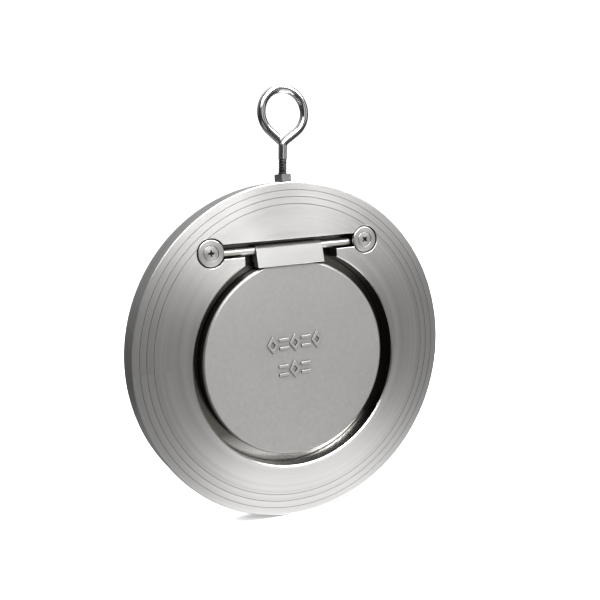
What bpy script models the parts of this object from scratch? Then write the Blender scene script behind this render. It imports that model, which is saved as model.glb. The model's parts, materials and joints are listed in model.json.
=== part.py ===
"""Slim single-disc wafer check valve, nominal size 150.

Frame: metres, origin at the centre of the body ring. Y is the flow axis, the pocket side of the
ring faces -Y, X is to the right and Z is up, with the eye bolt on top. Depths below are measured
from the front gasket face towards the back.
"""
import math

import bmesh
import bpy
from mathutils import Vector

MM = 0.001
GAP = 0.3 * MM                       # left between pieces that touch on the real valve
OVER = 2.0 * MM                      # how far a cutter reaches past the face it cuts

# Body ring
BODY_RADIUS = 109.0 * MM             # sits inside the bolts of the flanges
BODY_THICKNESS = 19.0 * MM           # face to face
BODY_CHAMFER = 1.2 * MM
POCKET_CENTRE_Z = -4.8 * MM          # the pocket is turned a little below the ring's centre
POCKET_RADIUS = 71.2 * MM
POCKET_DEPTH = 12.8 * MM
POCKET_CHAMFER = 1.1 * MM
BORE_RADIUS = 56.0 * MM
BORE_CHAMFER = 1.0 * MM
NOTCH_HALF_WIDTH = 32.3 * MM         # gives the hinge lug room above the pocket
SLOT_LOW_Z = 64.1 * MM
SLOT_HIGH_Z = 73.2 * MM
SLOT_HALF_LENGTH = 47.0 * MM
SLOT_DEPTH = 11.7 * MM

# Seat seal
SEAL_RADIUS = 60.0 * MM
SEAL_SECTION_RADIUS = 1.5 * MM
SEAL_STAND = 0.4 * MM                # how far the seal stands above the pocket floor

# Clapper disc and its hinge lug
DISC_RADIUS = 64.2 * MM
DISC_CHAMFER = 1.2 * MM
DISC_FRONT_DEPTH = 2.4 * MM
DISC_BACK_DEPTH = POCKET_DEPTH - SEAL_STAND - GAP
DISC_REAR_DISH_RADIUS = 50.0 * MM
DISC_REAR_DISH = 1.5 * MM
LUG_HALF_WIDTH = 23.4 * MM
LUG_FOOT_Z = 56.5 * MM
LUG_FOOT_FRONT_DEPTH = 0.9 * MM
LUG_FOOT_BACK_DEPTH = 7.7 * MM
LUG_SLOPE = math.radians(10.5)       # the lug's face leans back towards the pin
LUG_KNUCKLE_RADIUS = 3.6 * MM
LUG_HEEL_Z = 60.0 * MM

# Hinge pin
PIN_RADIUS = 2.6 * MM
PIN_HALF_LENGTH = 46.0 * MM
PIN_DEPTH = 6.9 * MM
PIN_Z = 67.3 * MM
PIN_CHAMFER = 0.8 * MM

# Washers and screws that keep the pin in its slot
KEEPER_X = 54.0 * MM
KEEPER_Z = 68.4 * MM
COUNTERBORE_RADIUS = 9.2 * MM
WASHER_RADIUS = 8.5 * MM
WASHER_THICKNESS = 2.7 * MM
WASHER_DEPTH = 0.1 * MM
WASHER_CHAMFER = 0.5 * MM
SCREW_HEAD_RADIUS = 4.7 * MM
SCREW_DOME = 0.25 * MM
SCREW_HEAD_DEPTH = 0.3 * MM
SCREW_RADIUS = 2.5 * MM
SCREW_LENGTH = 12.0 * MM
SCREW_TIP_CHAMFER = 0.6 * MM
SCREW_CONE = SCREW_HEAD_RADIUS - SCREW_RADIUS
DRILL_RUN = 1.0 * MM                 # how far the drilled hole runs on past the screw
CROSS_HALF_LENGTH = 2.3 * MM
CROSS_HALF_WIDTH = 0.5 * MM
CROSS_DEPTH = 1.3 * MM

# Eye bolt and its lock nut
EYE_BOLT_X = 1.0 * MM
WIRE_RADIUS = 2.75 * MM
EYE_RADIUS = 14.9 * MM               # middle of the wire
EYE_CENTRE_HEIGHT = 38.2 * MM        # above the bend in the shank
EYE_TAPER = math.radians(52.0)       # half the angle at which the eye closes on its shank
EYE_NECK_BEND = 4.0 * MM
EYE_LEAN = math.radians(4.5)         # the shank is bent over a little above its nut
BOLT_SOCKET_DEPTH = 13.0 * MM
NUT_ACROSS_FLATS = 10.0 * MM
NUT_HEIGHT = 4.7 * MM
NUT_CHAMFER = 0.7 * MM

FRONT_Y = -BODY_THICKNESS / 2
BACK_Y = BODY_THICKNESS / 2
PIN_POSITION = Vector((0.0, FRONT_Y + PIN_DEPTH, PIN_Z))
TURN_TO_FRONT = (math.pi / 2, 0.0, 0.0)          # local +Z to world -Y
TURN_SIDEWAYS = (math.pi / 2, 0.0, math.pi / 2)  # local XY to world YZ, local +Z to world +X
ROUND_STEPS = 96
SMALL_STEPS = 32


def clear_scene():
    for thing in list(bpy.data.objects):
        bpy.data.objects.remove(thing, do_unlink=True)


def new_collection(name):
    collection = bpy.data.collections.new(name)
    bpy.context.scene.collection.children.link(collection)
    return collection


def metal(name, colour, roughness, metallic=1.0):
    material = bpy.data.materials.new(name)
    material.use_nodes = True
    shader = material.node_tree.nodes["Principled BSDF"]
    shader.inputs["Base Color"].default_value = (*colour, 1.0)
    shader.inputs["Roughness"].default_value = roughness
    shader.inputs["Metallic"].default_value = metallic
    return material


def place(thing, collection, material=None, location=(0, 0, 0), rotation=(0, 0, 0), parent=None):
    """Link an object into its collection at a world place, under a parent that isn't turned."""
    collection.objects.link(thing)
    thing.location = Vector(location) - (parent.location if parent else Vector())
    thing.rotation_euler = rotation
    thing.parent = parent
    if material:
        thing.data.materials.append(material)
    return thing


def smooth(thing):
    thing.data.shade_smooth()
    thing.data.set_sharp_from_angle(angle=math.radians(35))


def as_cutter(thing):
    thing.hide_render = True
    thing.display_type = 'WIRE'
    return thing


def cut(target, cutter):
    boolean = target.modifiers.new("cut " + cutter.name, 'BOOLEAN')
    boolean.operation = 'DIFFERENCE'
    boolean.solver = 'EXACT'
    boolean.object = cutter


def turned(name, profile, closed=False, steps=ROUND_STEPS):
    """A lathe-turned piece about local Z, from (radius, height) points down its outer side."""
    mesh = bpy.data.meshes.new(name)
    edges = [(i, i + 1) for i in range(len(profile) - 1)]
    if closed:
        edges.append((len(profile) - 1, 0))
    mesh.from_pydata([(radius, 0, height) for radius, height in profile], edges, [])
    thing = bpy.data.objects.new(name, mesh)
    screw = thing.modifiers.new("turn", 'SCREW')
    screw.axis = 'Z'
    screw.angle = math.tau
    screw.steps = screw.render_steps = steps
    screw.use_merge_vertices = True
    screw.merge_threshold = 0.00001
    screw.use_smooth_shade = False
    return thing


def block(name, low, high):
    """A box between two corners, in world places."""
    mesh = bpy.data.meshes.new(name)
    cage = bmesh.new()
    bmesh.ops.create_cube(cage, size=1.0)
    low, high = Vector(low), Vector(high)
    for vertex in cage.verts:
        vertex.co = Vector((l + (c + 0.5) * (h - l) for l, c, h in zip(low, vertex.co, high)))
    cage.to_mesh(mesh)
    cage.free()
    return bpy.data.objects.new(name, mesh)


def prism(name, radius, height, sides):
    """An upright prism or cylinder standing on local Z = 0."""
    mesh = bpy.data.meshes.new(name)
    cage = bmesh.new()
    bmesh.ops.create_cone(cage, cap_ends=True, segments=sides, radius1=radius, radius2=radius,
                          depth=height)
    bmesh.ops.translate(cage, vec=(0, 0, height / 2), verts=cage.verts)
    cage.to_mesh(mesh)
    cage.free()
    return bpy.data.objects.new(name, mesh)


def arc(centre, radius, start, end, steps):
    """Points on an arc in a plane, both ends included; angles in radians."""
    for i in range(steps + 1):
        angle = start + (end - start) * i / steps
        yield Vector((centre[0] + radius * math.cos(angle), centre[1] + radius * math.sin(angle)))


def add_spline(curve, points, cyclic):
    spline = curve.splines.new('POLY')
    spline.points.add(len(points) - 1)
    for slot, point in zip(spline.points, points):
        slot.co = (*point.to_3d(), 1.0)
    spline.use_cyclic_u = cyclic


def make_body_ring(valve, cutters, steel):
    """The ring: pocket, bore, seal groove, hinge slot, screw holes and eye bolt hole."""
    half = BODY_THICKNESS / 2
    ring = turned("body_ring", [(0, half), (BODY_RADIUS - BODY_CHAMFER, half),
                                (BODY_RADIUS, half - BODY_CHAMFER),
                                (BODY_RADIUS, BODY_CHAMFER - half),
                                (BODY_RADIUS - BODY_CHAMFER, -half), (0, -half)])
    place(ring, valve, steel, rotation=TURN_TO_FRONT)

    floor = half - POCKET_DEPTH
    groove_half = SEAL_SECTION_RADIUS + GAP
    groove_floor = floor + SEAL_STAND - 2 * SEAL_SECTION_RADIUS - GAP
    pocket = turned("pocket_cutter", [(0, half + OVER),
                                      (POCKET_RADIUS + POCKET_CHAMFER + OVER, half + OVER),
                                      (POCKET_RADIUS, half - POCKET_CHAMFER), (POCKET_RADIUS, floor),
                                      (SEAL_RADIUS + groove_half, floor),
                                      (SEAL_RADIUS + groove_half, groove_floor),
                                      (SEAL_RADIUS - groove_half, groove_floor),
                                      (SEAL_RADIUS - groove_half, floor),
                                      (BORE_RADIUS, floor), (BORE_RADIUS, BORE_CHAMFER - half),
                                      (BORE_RADIUS + BORE_CHAMFER + OVER, -half - OVER),
                                      (0, -half - OVER)])
    place(pocket, cutters, location=(0, 0, POCKET_CENTRE_Z), rotation=TURN_TO_FRONT)

    above = FRONT_Y - OVER
    notch = block("notch_cutter", (-NOTCH_HALF_WIDTH, above, POCKET_RADIUS / 2),
                  (NOTCH_HALF_WIDTH, FRONT_Y + POCKET_DEPTH, SLOT_LOW_Z + OVER))
    slot = block("slot_cutter", (-SLOT_HALF_LENGTH, above, SLOT_LOW_Z),
                 (SLOT_HALF_LENGTH, FRONT_Y + SLOT_DEPTH, SLOT_HIGH_Z))
    place(notch, cutters)
    place(slot, cutters)

    holes = [pocket, notch, slot]
    for side, x in (("left", -KEEPER_X), ("right", KEEPER_X)):
        sink = half - WASHER_DEPTH - WASHER_THICKNESS - GAP
        hole = turned("keeper_hole_%s_cutter" % side,
                      [(0, half + OVER), (COUNTERBORE_RADIUS, half + OVER),
                       (COUNTERBORE_RADIUS, sink), (SCREW_RADIUS + GAP, sink),
                       (SCREW_RADIUS + GAP, half - SCREW_LENGTH - DRILL_RUN),
                       (0, half - SCREW_LENGTH - 2 * DRILL_RUN)], steps=SMALL_STEPS)
        holes.append(place(hole, cutters, location=(x, 0, KEEPER_Z), rotation=TURN_TO_FRONT))

    socket = prism("bolt_socket_cutter", WIRE_RADIUS + GAP, BOLT_SOCKET_DEPTH + OVER, SMALL_STEPS)
    holes.append(place(socket, cutters, location=(EYE_BOLT_X, 0, BODY_RADIUS - BOLT_SOCKET_DEPTH)))

    for hole in holes:
        cut(ring, as_cutter(hole))
    smooth(ring)


def make_seat_seal(valve, rubber):
    """The O-ring that lies in the pocket floor and meets the back of the disc."""
    middle = BODY_THICKNESS / 2 - POCKET_DEPTH + SEAL_STAND - SEAL_SECTION_RADIUS
    section = [(p.x, p.y) for p in arc((SEAL_RADIUS, middle), SEAL_SECTION_RADIUS,
                                       math.pi / 2, -1.5 * math.pi, 10)][:-1]
    seal = turned("seat_seal", section, closed=True, steps=64)
    place(seal, valve, rubber, location=(0, 0, POCKET_CENTRE_Z), rotation=TURN_TO_FRONT)
    smooth(seal)


def make_clapper_disc(valve, cutters, pivot, cast_steel):
    """The round flap, dished at the back, with a rebate across its top for the hinge lug."""
    front = -(FRONT_Y + DISC_FRONT_DEPTH)
    back = -(FRONT_Y + DISC_BACK_DEPTH)
    rim = DISC_RADIUS - DISC_CHAMFER
    disc = turned("clapper_disc", [(0, front), (rim, front), (DISC_RADIUS, front - DISC_CHAMFER),
                                   (DISC_RADIUS, back + DISC_CHAMFER / 2),
                                   (DISC_RADIUS - DISC_CHAMFER / 2, back),
                                   (DISC_REAR_DISH_RADIUS, back),
                                   (DISC_REAR_DISH_RADIUS - DISC_REAR_DISH, back + DISC_REAR_DISH),
                                   (0, back + DISC_REAR_DISH)])
    place(disc, valve, cast_steel, location=(0, 0, POCKET_CENTRE_Z), rotation=TURN_TO_FRONT,
          parent=pivot)
    rebate = block("lug_rebate_cutter",
                   (-LUG_HALF_WIDTH - GAP, FRONT_Y - OVER, LUG_FOOT_Z - GAP),
                   (LUG_HALF_WIDTH + GAP, FRONT_Y + LUG_FOOT_BACK_DEPTH + GAP, LUG_HEEL_Z + OVER))
    place(rebate, cutters)
    cut(disc, as_cutter(rebate))
    smooth(disc)


def make_hinge_lug(valve, pivot, bright_steel):
    """The milled bar let into the disc: a sloping face, a round knuckle and the pin's hole."""
    pin = Vector((PIN_DEPTH, PIN_Z))
    slope = Vector((math.sin(LUG_SLOPE), math.cos(LUG_SLOPE)))
    foot = Vector((LUG_FOOT_FRONT_DEPTH, LUG_FOOT_Z))
    shoulder_height = PIN_Z + LUG_KNUCKLE_RADIUS * 0.35 - LUG_FOOT_Z
    shoulder = foot + slope * (shoulder_height / slope.y)
    over_top = arc(pin, LUG_KNUCKLE_RADIUS, math.radians(125), 0, 10)
    outline = [foot, shoulder, *over_top, Vector((PIN_DEPTH + LUG_KNUCKLE_RADIUS, LUG_HEEL_Z)),
               Vector((LUG_FOOT_BACK_DEPTH, LUG_HEEL_Z)), Vector((LUG_FOOT_BACK_DEPTH, LUG_FOOT_Z))]
    hole = list(arc(pin, PIN_RADIUS + GAP, 0, math.tau, 24))[:-1]

    curve = bpy.data.curves.new("hinge_lug", 'CURVE')
    curve.dimensions = '2D'
    curve.fill_mode = 'BOTH'
    curve.extrude = LUG_HALF_WIDTH
    shift = Vector((FRONT_Y, 0)) - Vector((PIN_POSITION.y, PIN_POSITION.z))
    add_spline(curve, [point + shift for point in outline], True)
    add_spline(curve, [point + shift for point in hole], True)
    lug = bpy.data.objects.new("hinge_lug", curve)
    place(lug, valve, bright_steel, location=PIN_POSITION, rotation=TURN_SIDEWAYS, parent=pivot)


def make_hinge_pin(valve, bright_steel):
    """The loose straight pin, chamfered at both ends."""
    shaft = PIN_RADIUS - PIN_CHAMFER
    pin = turned("hinge_pin", [(0, PIN_HALF_LENGTH), (shaft, PIN_HALF_LENGTH),
                               (PIN_RADIUS, PIN_HALF_LENGTH - PIN_CHAMFER),
                               (PIN_RADIUS, PIN_CHAMFER - PIN_HALF_LENGTH),
                               (shaft, -PIN_HALF_LENGTH), (0, -PIN_HALF_LENGTH)], steps=24)
    place(pin, valve, bright_steel, location=PIN_POSITION, rotation=(0, math.pi / 2, 0))
    smooth(pin)


def make_keepers(valve, cutters, bright_steel):
    """A countersunk washer and a cross-recessed screw at each end of the hinge pin."""
    top = BODY_THICKNESS / 2 - WASHER_DEPTH
    head = BODY_THICKNESS / 2 - SCREW_HEAD_DEPTH
    tip = BODY_THICKNESS / 2 - SCREW_LENGTH
    cone_top = head + GAP
    for side, x, turn in (("left", -KEEPER_X, 0.0), ("right", KEEPER_X, math.pi / 4)):
        spot = (x, 0, KEEPER_Z)
        washer = turned("pin_washer_" + side,
                        [(SCREW_HEAD_RADIUS + GAP, top), (WASHER_RADIUS - WASHER_CHAMFER, top),
                         (WASHER_RADIUS, top - WASHER_CHAMFER),
                         (WASHER_RADIUS, top - WASHER_THICKNESS),
                         (SCREW_RADIUS + GAP, top - WASHER_THICKNESS),
                         (SCREW_RADIUS + GAP, cone_top - SCREW_CONE - GAP),
                         (SCREW_HEAD_RADIUS + GAP, cone_top - GAP)],
                        closed=True, steps=SMALL_STEPS)
        place(washer, valve, bright_steel, location=spot, rotation=TURN_TO_FRONT)
        smooth(washer)

        screw = turned("pin_screw_" + side,
                       [(0, head + SCREW_DOME), (SCREW_HEAD_RADIUS * 0.6, head + SCREW_DOME * 0.7),
                        (SCREW_HEAD_RADIUS, head), (SCREW_HEAD_RADIUS, head - GAP),
                        (SCREW_RADIUS, head - GAP - SCREW_CONE), (SCREW_RADIUS, tip + SCREW_TIP_CHAMFER),
                        (SCREW_RADIUS - SCREW_TIP_CHAMFER, tip), (0, tip)], steps=SMALL_STEPS)
        place(screw, valve, bright_steel, location=spot, rotation=TURN_TO_FRONT)
        for name, reach in (("upright", (CROSS_HALF_WIDTH, CROSS_HALF_LENGTH)),
                            ("level", (CROSS_HALF_LENGTH, CROSS_HALF_WIDTH))):
            bar = block("cross_%s_%s_cutter" % (name, side),
                        (-reach[0], -reach[1], head - CROSS_DEPTH),
                        (reach[0], reach[1], head + OVER))
            place(bar, cutters, location=spot, rotation=(math.pi / 2, turn, 0))
            cut(screw, as_cutter(bar))
        smooth(screw)


def eye_path():
    """The wire's middle line in its own plane: up the shank, round the eye and back to it."""
    bend = math.radians(90) - EYE_TAPER
    crossing = EYE_CENTRE_HEIGHT - EYE_RADIUS / math.sin(EYE_TAPER)
    neck_run = EYE_NECK_BEND * math.tan(EYE_TAPER / 2)
    neck_centre = (EYE_NECK_BEND, crossing - neck_run)
    points = [Vector((0, 0)), Vector((0, (crossing - neck_run) * 0.5))]
    points += arc(neck_centre, EYE_NECK_BEND, math.pi, math.pi - EYE_TAPER, 4)
    points += arc((0, EYE_CENTRE_HEIGHT), EYE_RADIUS, bend - math.pi / 2, 1.5 * math.pi - bend, 30)
    clear_of_shank = (2 * WIRE_RADIUS + GAP - WIRE_RADIUS * (1 - math.sin(bend))) / math.cos(bend)
    points.append(Vector((0, crossing)) + clear_of_shank * Vector((-math.cos(bend), math.sin(bend))))
    return points


def make_eye_bolt(valve, steel):
    """Bent wire: a straight threaded foot in the ring, then the shank and its eye."""
    kink_z = BODY_RADIUS + GAP + NUT_HEIGHT + 0.3 * MM
    foot_z = BODY_RADIUS - BOLT_SOCKET_DEPTH + GAP
    lean_x, lean_z = math.sin(EYE_LEAN), math.cos(EYE_LEAN)
    points = [Vector((EYE_BOLT_X, 0, foot_z))]
    for across, along in eye_path():
        points.append(Vector((EYE_BOLT_X + across * lean_z + along * lean_x, 0,
                              kink_z - across * lean_x + along * lean_z)))
    curve = bpy.data.curves.new("eye_bolt", 'CURVE')
    curve.dimensions = '3D'
    curve.bevel_depth = WIRE_RADIUS
    curve.bevel_resolution = 3
    curve.use_fill_caps = True
    add_spline(curve, points, False)
    place(bpy.data.objects.new("eye_bolt", curve), valve, steel)


def make_eye_bolt_nut(valve, cutters, steel):
    """The hexagon lock nut, chamfered at both ends by a turned cutter."""
    corner_radius = NUT_ACROSS_FLATS / math.sqrt(3)
    nut = prism("eye_bolt_nut", corner_radius, NUT_HEIGHT, 6)
    spot = (EYE_BOLT_X, 0, BODY_RADIUS + GAP)
    place(nut, valve, steel, location=spot, rotation=(0, 0, math.radians(30)))
    hole = prism("nut_hole_cutter", WIRE_RADIUS + GAP, NUT_HEIGHT + 2 * OVER, SMALL_STEPS)
    place(hole, cutters, location=(EYE_BOLT_X, 0, spot[2] - OVER))
    cut(nut, as_cutter(hole))

    outside = corner_radius + OVER
    drop = NUT_CHAMFER / 2
    flat = corner_radius - NUT_CHAMFER
    reach = (outside - flat) * drop / NUT_CHAMFER
    trim = turned("nut_chamfer_cutter", [(flat - GAP, NUT_HEIGHT + OVER),
                                         (outside, NUT_HEIGHT + OVER), (outside, -OVER),
                                         (flat - GAP, -OVER), (flat, 0),
                                         (outside - GAP, reach),
                                         (outside - GAP, NUT_HEIGHT - reach),
                                         (flat, NUT_HEIGHT)], closed=True, steps=SMALL_STEPS)
    place(trim, cutters, location=spot)
    cut(nut, as_cutter(trim))
    smooth(nut)


def build_valve():
    clear_scene()
    valve = new_collection("wafer_check_valve")
    cutters = new_collection("cutters")
    turned_steel = metal("turned_steel", (0.62, 0.61, 0.60), 0.32)
    cast_steel = metal("blasted_cast_steel", (0.52, 0.51, 0.50), 0.48)
    bright_steel = metal("bright_steel", (0.78, 0.77, 0.76), 0.22)
    polished_wire = metal("polished_wire", (0.70, 0.70, 0.70), 0.15)
    rubber = metal("seal_rubber", (0.02, 0.02, 0.02), 0.60, metallic=0.0)

    pivot = bpy.data.objects.new("clapper_pivot", None)
    valve.objects.link(pivot)
    pivot.location = PIN_POSITION

    make_body_ring(valve, cutters, turned_steel)
    make_seat_seal(valve, rubber)
    make_clapper_disc(valve, cutters, pivot, cast_steel)
    make_hinge_lug(valve, pivot, bright_steel)
    make_hinge_pin(valve, bright_steel)
    make_keepers(valve, cutters, bright_steel)
    make_eye_bolt(valve, polished_wire)
    make_eye_bolt_nut(valve, cutters, bright_steel)


build_valve()
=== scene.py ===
"""Looks of the slim wafer check valve: fine surfaces, steel finishes, studio light and camera.

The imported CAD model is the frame. Every new piece stands for one CAD node, and its main sizes
come from that node's box. Y is the flow axis, and the pocket side of the ring faces -Y.
"""
import json
import math

import bpy
from mathutils import Matrix, Vector

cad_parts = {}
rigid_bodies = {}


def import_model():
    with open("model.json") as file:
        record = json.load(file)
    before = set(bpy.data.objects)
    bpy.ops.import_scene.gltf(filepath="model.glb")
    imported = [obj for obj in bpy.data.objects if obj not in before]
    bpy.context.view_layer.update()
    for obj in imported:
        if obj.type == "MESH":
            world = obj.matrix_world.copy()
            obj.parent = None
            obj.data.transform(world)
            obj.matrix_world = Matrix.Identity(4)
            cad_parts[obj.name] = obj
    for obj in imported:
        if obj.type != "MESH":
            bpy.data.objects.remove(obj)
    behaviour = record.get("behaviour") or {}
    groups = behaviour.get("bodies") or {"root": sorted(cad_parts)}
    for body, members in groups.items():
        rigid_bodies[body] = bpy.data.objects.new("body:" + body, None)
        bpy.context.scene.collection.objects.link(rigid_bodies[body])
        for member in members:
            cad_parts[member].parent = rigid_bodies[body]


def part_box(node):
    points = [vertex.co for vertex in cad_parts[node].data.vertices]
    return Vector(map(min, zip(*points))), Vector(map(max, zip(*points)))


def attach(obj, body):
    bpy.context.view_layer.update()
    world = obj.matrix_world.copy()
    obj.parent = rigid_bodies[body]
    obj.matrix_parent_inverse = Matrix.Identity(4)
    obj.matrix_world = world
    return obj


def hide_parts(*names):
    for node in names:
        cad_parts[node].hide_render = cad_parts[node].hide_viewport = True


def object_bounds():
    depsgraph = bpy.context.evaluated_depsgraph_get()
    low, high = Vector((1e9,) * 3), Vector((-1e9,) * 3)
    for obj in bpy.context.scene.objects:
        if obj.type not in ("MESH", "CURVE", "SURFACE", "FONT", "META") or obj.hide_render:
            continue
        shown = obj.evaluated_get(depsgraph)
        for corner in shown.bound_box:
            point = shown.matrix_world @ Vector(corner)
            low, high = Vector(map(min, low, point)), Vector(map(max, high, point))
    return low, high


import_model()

CAD_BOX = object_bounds()
MM = 0.001
CLEARANCE = 0.3 * MM                 # between pieces that touch on the real valve
BEYOND = 2.0 * MM                    # how far a cutter reaches past the face it cuts
HAIR = 0.01 * MM                     # places that are closer than this count as one
MERGE_DISTANCE = 1e-6
SMOOTH_ANGLE = math.radians(30)      # a sharper edge than this stays sharp

# Places and sizes from the frame
RING_LOW, RING_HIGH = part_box("body_ring")
DISC_LOW, DISC_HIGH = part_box("clapper_disc")
LUG_LOW, LUG_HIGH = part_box("hinge_lug")
PIN_LOW, PIN_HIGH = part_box("hinge_pin")
SEAL_LOW, SEAL_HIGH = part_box("seat_seal")
NUT_LOW, NUT_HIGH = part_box("eye_bolt_nut")
BOLT_LOW, BOLT_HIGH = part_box("eye_bolt")
FRONT, BACK = RING_LOW.y, RING_HIGH.y
RING_RADIUS = RING_HIGH.x
DISC_RADIUS = DISC_HIGH.x
FLAP_Z = DISC_LOW.z + DISC_RADIUS    # the pocket is turned a little below the ring's middle
PIN_MIDDLE = (PIN_LOW + PIN_HIGH) / 2
PIN_RADIUS = (PIN_HIGH.z - PIN_LOW.z) / 2
SEAL_THICKNESS = SEAL_HIGH.y - SEAL_LOW.y
BOLT_X = NUT_LOW.x + (NUT_HIGH.x - NUT_LOW.x) / 2

# Ring
RING_CHAMFER = 0.6 * MM
TURNED_ROUND = 0.2 * MM              # how far the corners of a turned chamfer are rounded
GROOVE_RADII = (95.2 * MM, 99.6 * MM, 103.9 * MM)
GROOVE_HALF_WIDTH = 0.17 * MM
GROOVE_HALF_FLOOR = 0.06 * MM
GROOVE_DEPTH = 0.25 * MM
POCKET_RADIUS = 71.2 * MM
POCKET_CHAMFER = 0.8 * MM
POCKET_FLOOR = FRONT + 12.8 * MM
POCKET_FILLET = 0.5 * MM
BORE_RADIUS = 56.0 * MM
BORE_CHAMFER = 1.0 * MM
NOTCH_HALF_WIDTH = 32.3 * MM
SLOT_LOW_Z = 64.1 * MM
SLOT_HIGH_Z = 73.2 * MM
SLOT_HALF_LENGTH = 47.0 * MM
SLOT_FLOOR = FRONT + 11.7 * MM
COUNTERBORE_RADIUS = 9.2 * MM
MILLED_CORNER = 1.0 * MM
SCREW_HOLE_RADIUS = 2.8 * MM
SCREW_HOLE_DEPTH = 13.0 * MM
DRILL_POINT = 1.6 * MM
BOLT_HOLE_FLARE = 0.7 * MM
EDGE_BREAK = 0.25 * MM               # small chamfer that takes the sharpness off milled edges

# Flap
DISC_CHAMFER = 1.2 * MM
DISC_DISH_RADIUS = 50.0 * MM
DISC_DISH = 1.5 * MM
DISC_ROUND = 0.35 * MM
DISC_BAND = 6.0 * MM                 # flat ring beside an edge, so that its faces stay narrow
REBATE_BACK = FRONT + 8.0 * MM
MARK_HEIGHT = 0.9 * MM
MARK_ROOT = 0.2 * MM                 # how far a mark is sunk into the face that it stands on
MARK_BEVEL = 0.28 * MM
MARK_STROKE = 1.9 * MM
MARK_SIZE = (8.0 * MM, 11.6 * MM)
MARK_PITCH = 7.9 * MM
MARK_ROWS = ((-0.9 * MM, 5.8 * MM, 5), (-2.1 * MM, -11.6 * MM, 3))    # middle x, z and count
BAR_REACH = 0.42                     # half a bar's length as a share of a mark's width
BAR_RISE = 0.24                      # a bar's place as a share of a mark's height
LUG_SLOPE = math.radians(10.5)
KNUCKLE_RADIUS = 3.6 * MM
KNUCKLE_SWEEP = math.radians(125)
KNUCKLE_STEPS = 16
SHOULDER_RISE = 0.35                 # above the pin's middle, as a share of the knuckle's radius
LUG_BEVEL = 0.4 * MM
PIN_HOLE_FLARE = 0.4 * MM
LUG_HEEL_Z = 60.0 * MM
LUG_FOOT_BACK = FRONT + 7.7 * MM

# Pin and keepers
PIN_END_RADIUS = PIN_RADIUS * 0.72
PIN_END_LENGTH = 1.3 * MM
PIN_END_ROUND = 0.6 * MM
WASHER_CHAMFER = 0.5 * MM
WASHER_BACK_CHAMFER = 0.3 * MM
SCREW_HEAD_RADIUS = 4.7 * MM
SCREW_RADIUS = 2.5 * MM
SCREW_THREAD_DEPTH = 0.35 * MM
SCREW_THREAD_PITCH = 0.8 * MM
SCREW_END_LENGTH = 0.8 * MM          # free of thread
SCREW_END_CHAMFER = 0.3 * MM
HEAD_EDGE = 0.12 * MM
DOME_SHARES = (0, 0.2, 0.4, 0.6, 0.8, 0.96)
HEAD_FRONT = FRONT + 0.3 * MM        # the edge of the screw head; its middle stands proud of it
CROSS_HALF_LENGTH = 2.3 * MM
CROSS_HALF_WIDTH = 0.55 * MM
CROSS_CORE_RADIUS = 1.25 * MM
CROSS_DEPTH = 1.6 * MM
CROSS_TAPER = 0.8
CROSS_POINT = 1.5                    # depth of the recess's middle as a share of its arms' depth

# Eye bolt
EYE_RADIUS = 14.9 * MM
EYE_CENTRE_HEIGHT = 38.2 * MM        # above the bend in the shank
EYE_TAPER = math.radians(52)
EYE_NECK_BEND = 4.0 * MM
EYE_LEAN = math.radians(4.5)
BEND_STEP = math.radians(5)
KINK_Z = NUT_HIGH.z + CLEARANCE
KINK_RADIUS = 12.0 * MM
THREAD_LENGTH = 9.2 * MM             # how far the thread runs on above the bend
THREAD_PITCH = 1.0 * MM
THREAD_ROOT = 0.82                   # the thread's root as a share of the wire's radius
WIRE_RADIUS = BOLT_HIGH.z - KINK_Z - EYE_CENTRE_HEIGHT * math.cos(EYE_LEAN) - EYE_RADIUS
WIRE_CORNERS = 32
NUT_FACING = 0.8 * MM                # from a corner of the hexagon in to its faced flat
NUT_CHAMFER_SLOPE = math.radians(27)
NUT_MOUTH = 0.4 * MM

# Steps round a turned piece, and segments of a bevel
LATHE_STEPS = 256
SEAL_STEPS = 192
WASHER_STEPS = 96
SMALL_STEPS = 64
CROSS_CORE_STEPS = 24
SEAL_CORNERS = 24
BEVEL_STEPS = 3
CORNER_STEPS = 6


# ---------------------------------------------------------------- modelling helpers

def deselect_all():
    """Goes back to object mode with nothing selected."""
    if bpy.context.mode != 'OBJECT':
        bpy.ops.object.mode_set(mode='OBJECT')
    bpy.ops.object.select_all(action='DESELECT')


def add(name, primitive, **settings):
    """Adds a primitive as a new piece and leaves it active and selected."""
    deselect_all()
    primitive(**settings)
    piece = bpy.context.object
    piece.name = piece.data.name = name
    return piece


def edit(piece):
    """Goes into edit mode on a piece with nothing selected."""
    deselect_all()
    bpy.context.view_layer.objects.active = piece
    piece.select_set(True)
    bpy.ops.object.mode_set(mode='EDIT')
    bpy.ops.mesh.select_all(action='DESELECT')


def pick(piece, kind, wanted):
    """Selects the edges or faces whose middle and direction pass a test."""
    bpy.ops.mesh.select_mode(type={'edges': 'EDGE', 'polygons': 'FACE'}[kind])
    bpy.ops.mesh.select_all(action='DESELECT')
    bpy.ops.object.mode_set(mode='OBJECT')
    mesh = piece.data
    for item in getattr(mesh, kind):
        corners = [mesh.vertices[v].co for v in item.vertices]
        middle = sum(corners, Vector()) / len(corners)
        direction = item.normal if kind == 'polygons' else (corners[1] - corners[0]).normalized()
        item.select = wanted(middle, direction)
    bpy.ops.object.mode_set(mode='EDIT')


def push(step):
    """Extrudes what is selected by a step."""
    bpy.ops.mesh.extrude_region_move(TRANSFORM_OT_translate={"value": step})


def close_shell():
    """Merges doubles, turns the whole skin outwards and leaves edit mode."""
    bpy.ops.mesh.select_all(action='SELECT')
    bpy.ops.mesh.remove_doubles(threshold=MERGE_DISTANCE)
    bpy.ops.mesh.normals_make_consistent(inside=False)
    bpy.ops.object.mode_set(mode='OBJECT')


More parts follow.
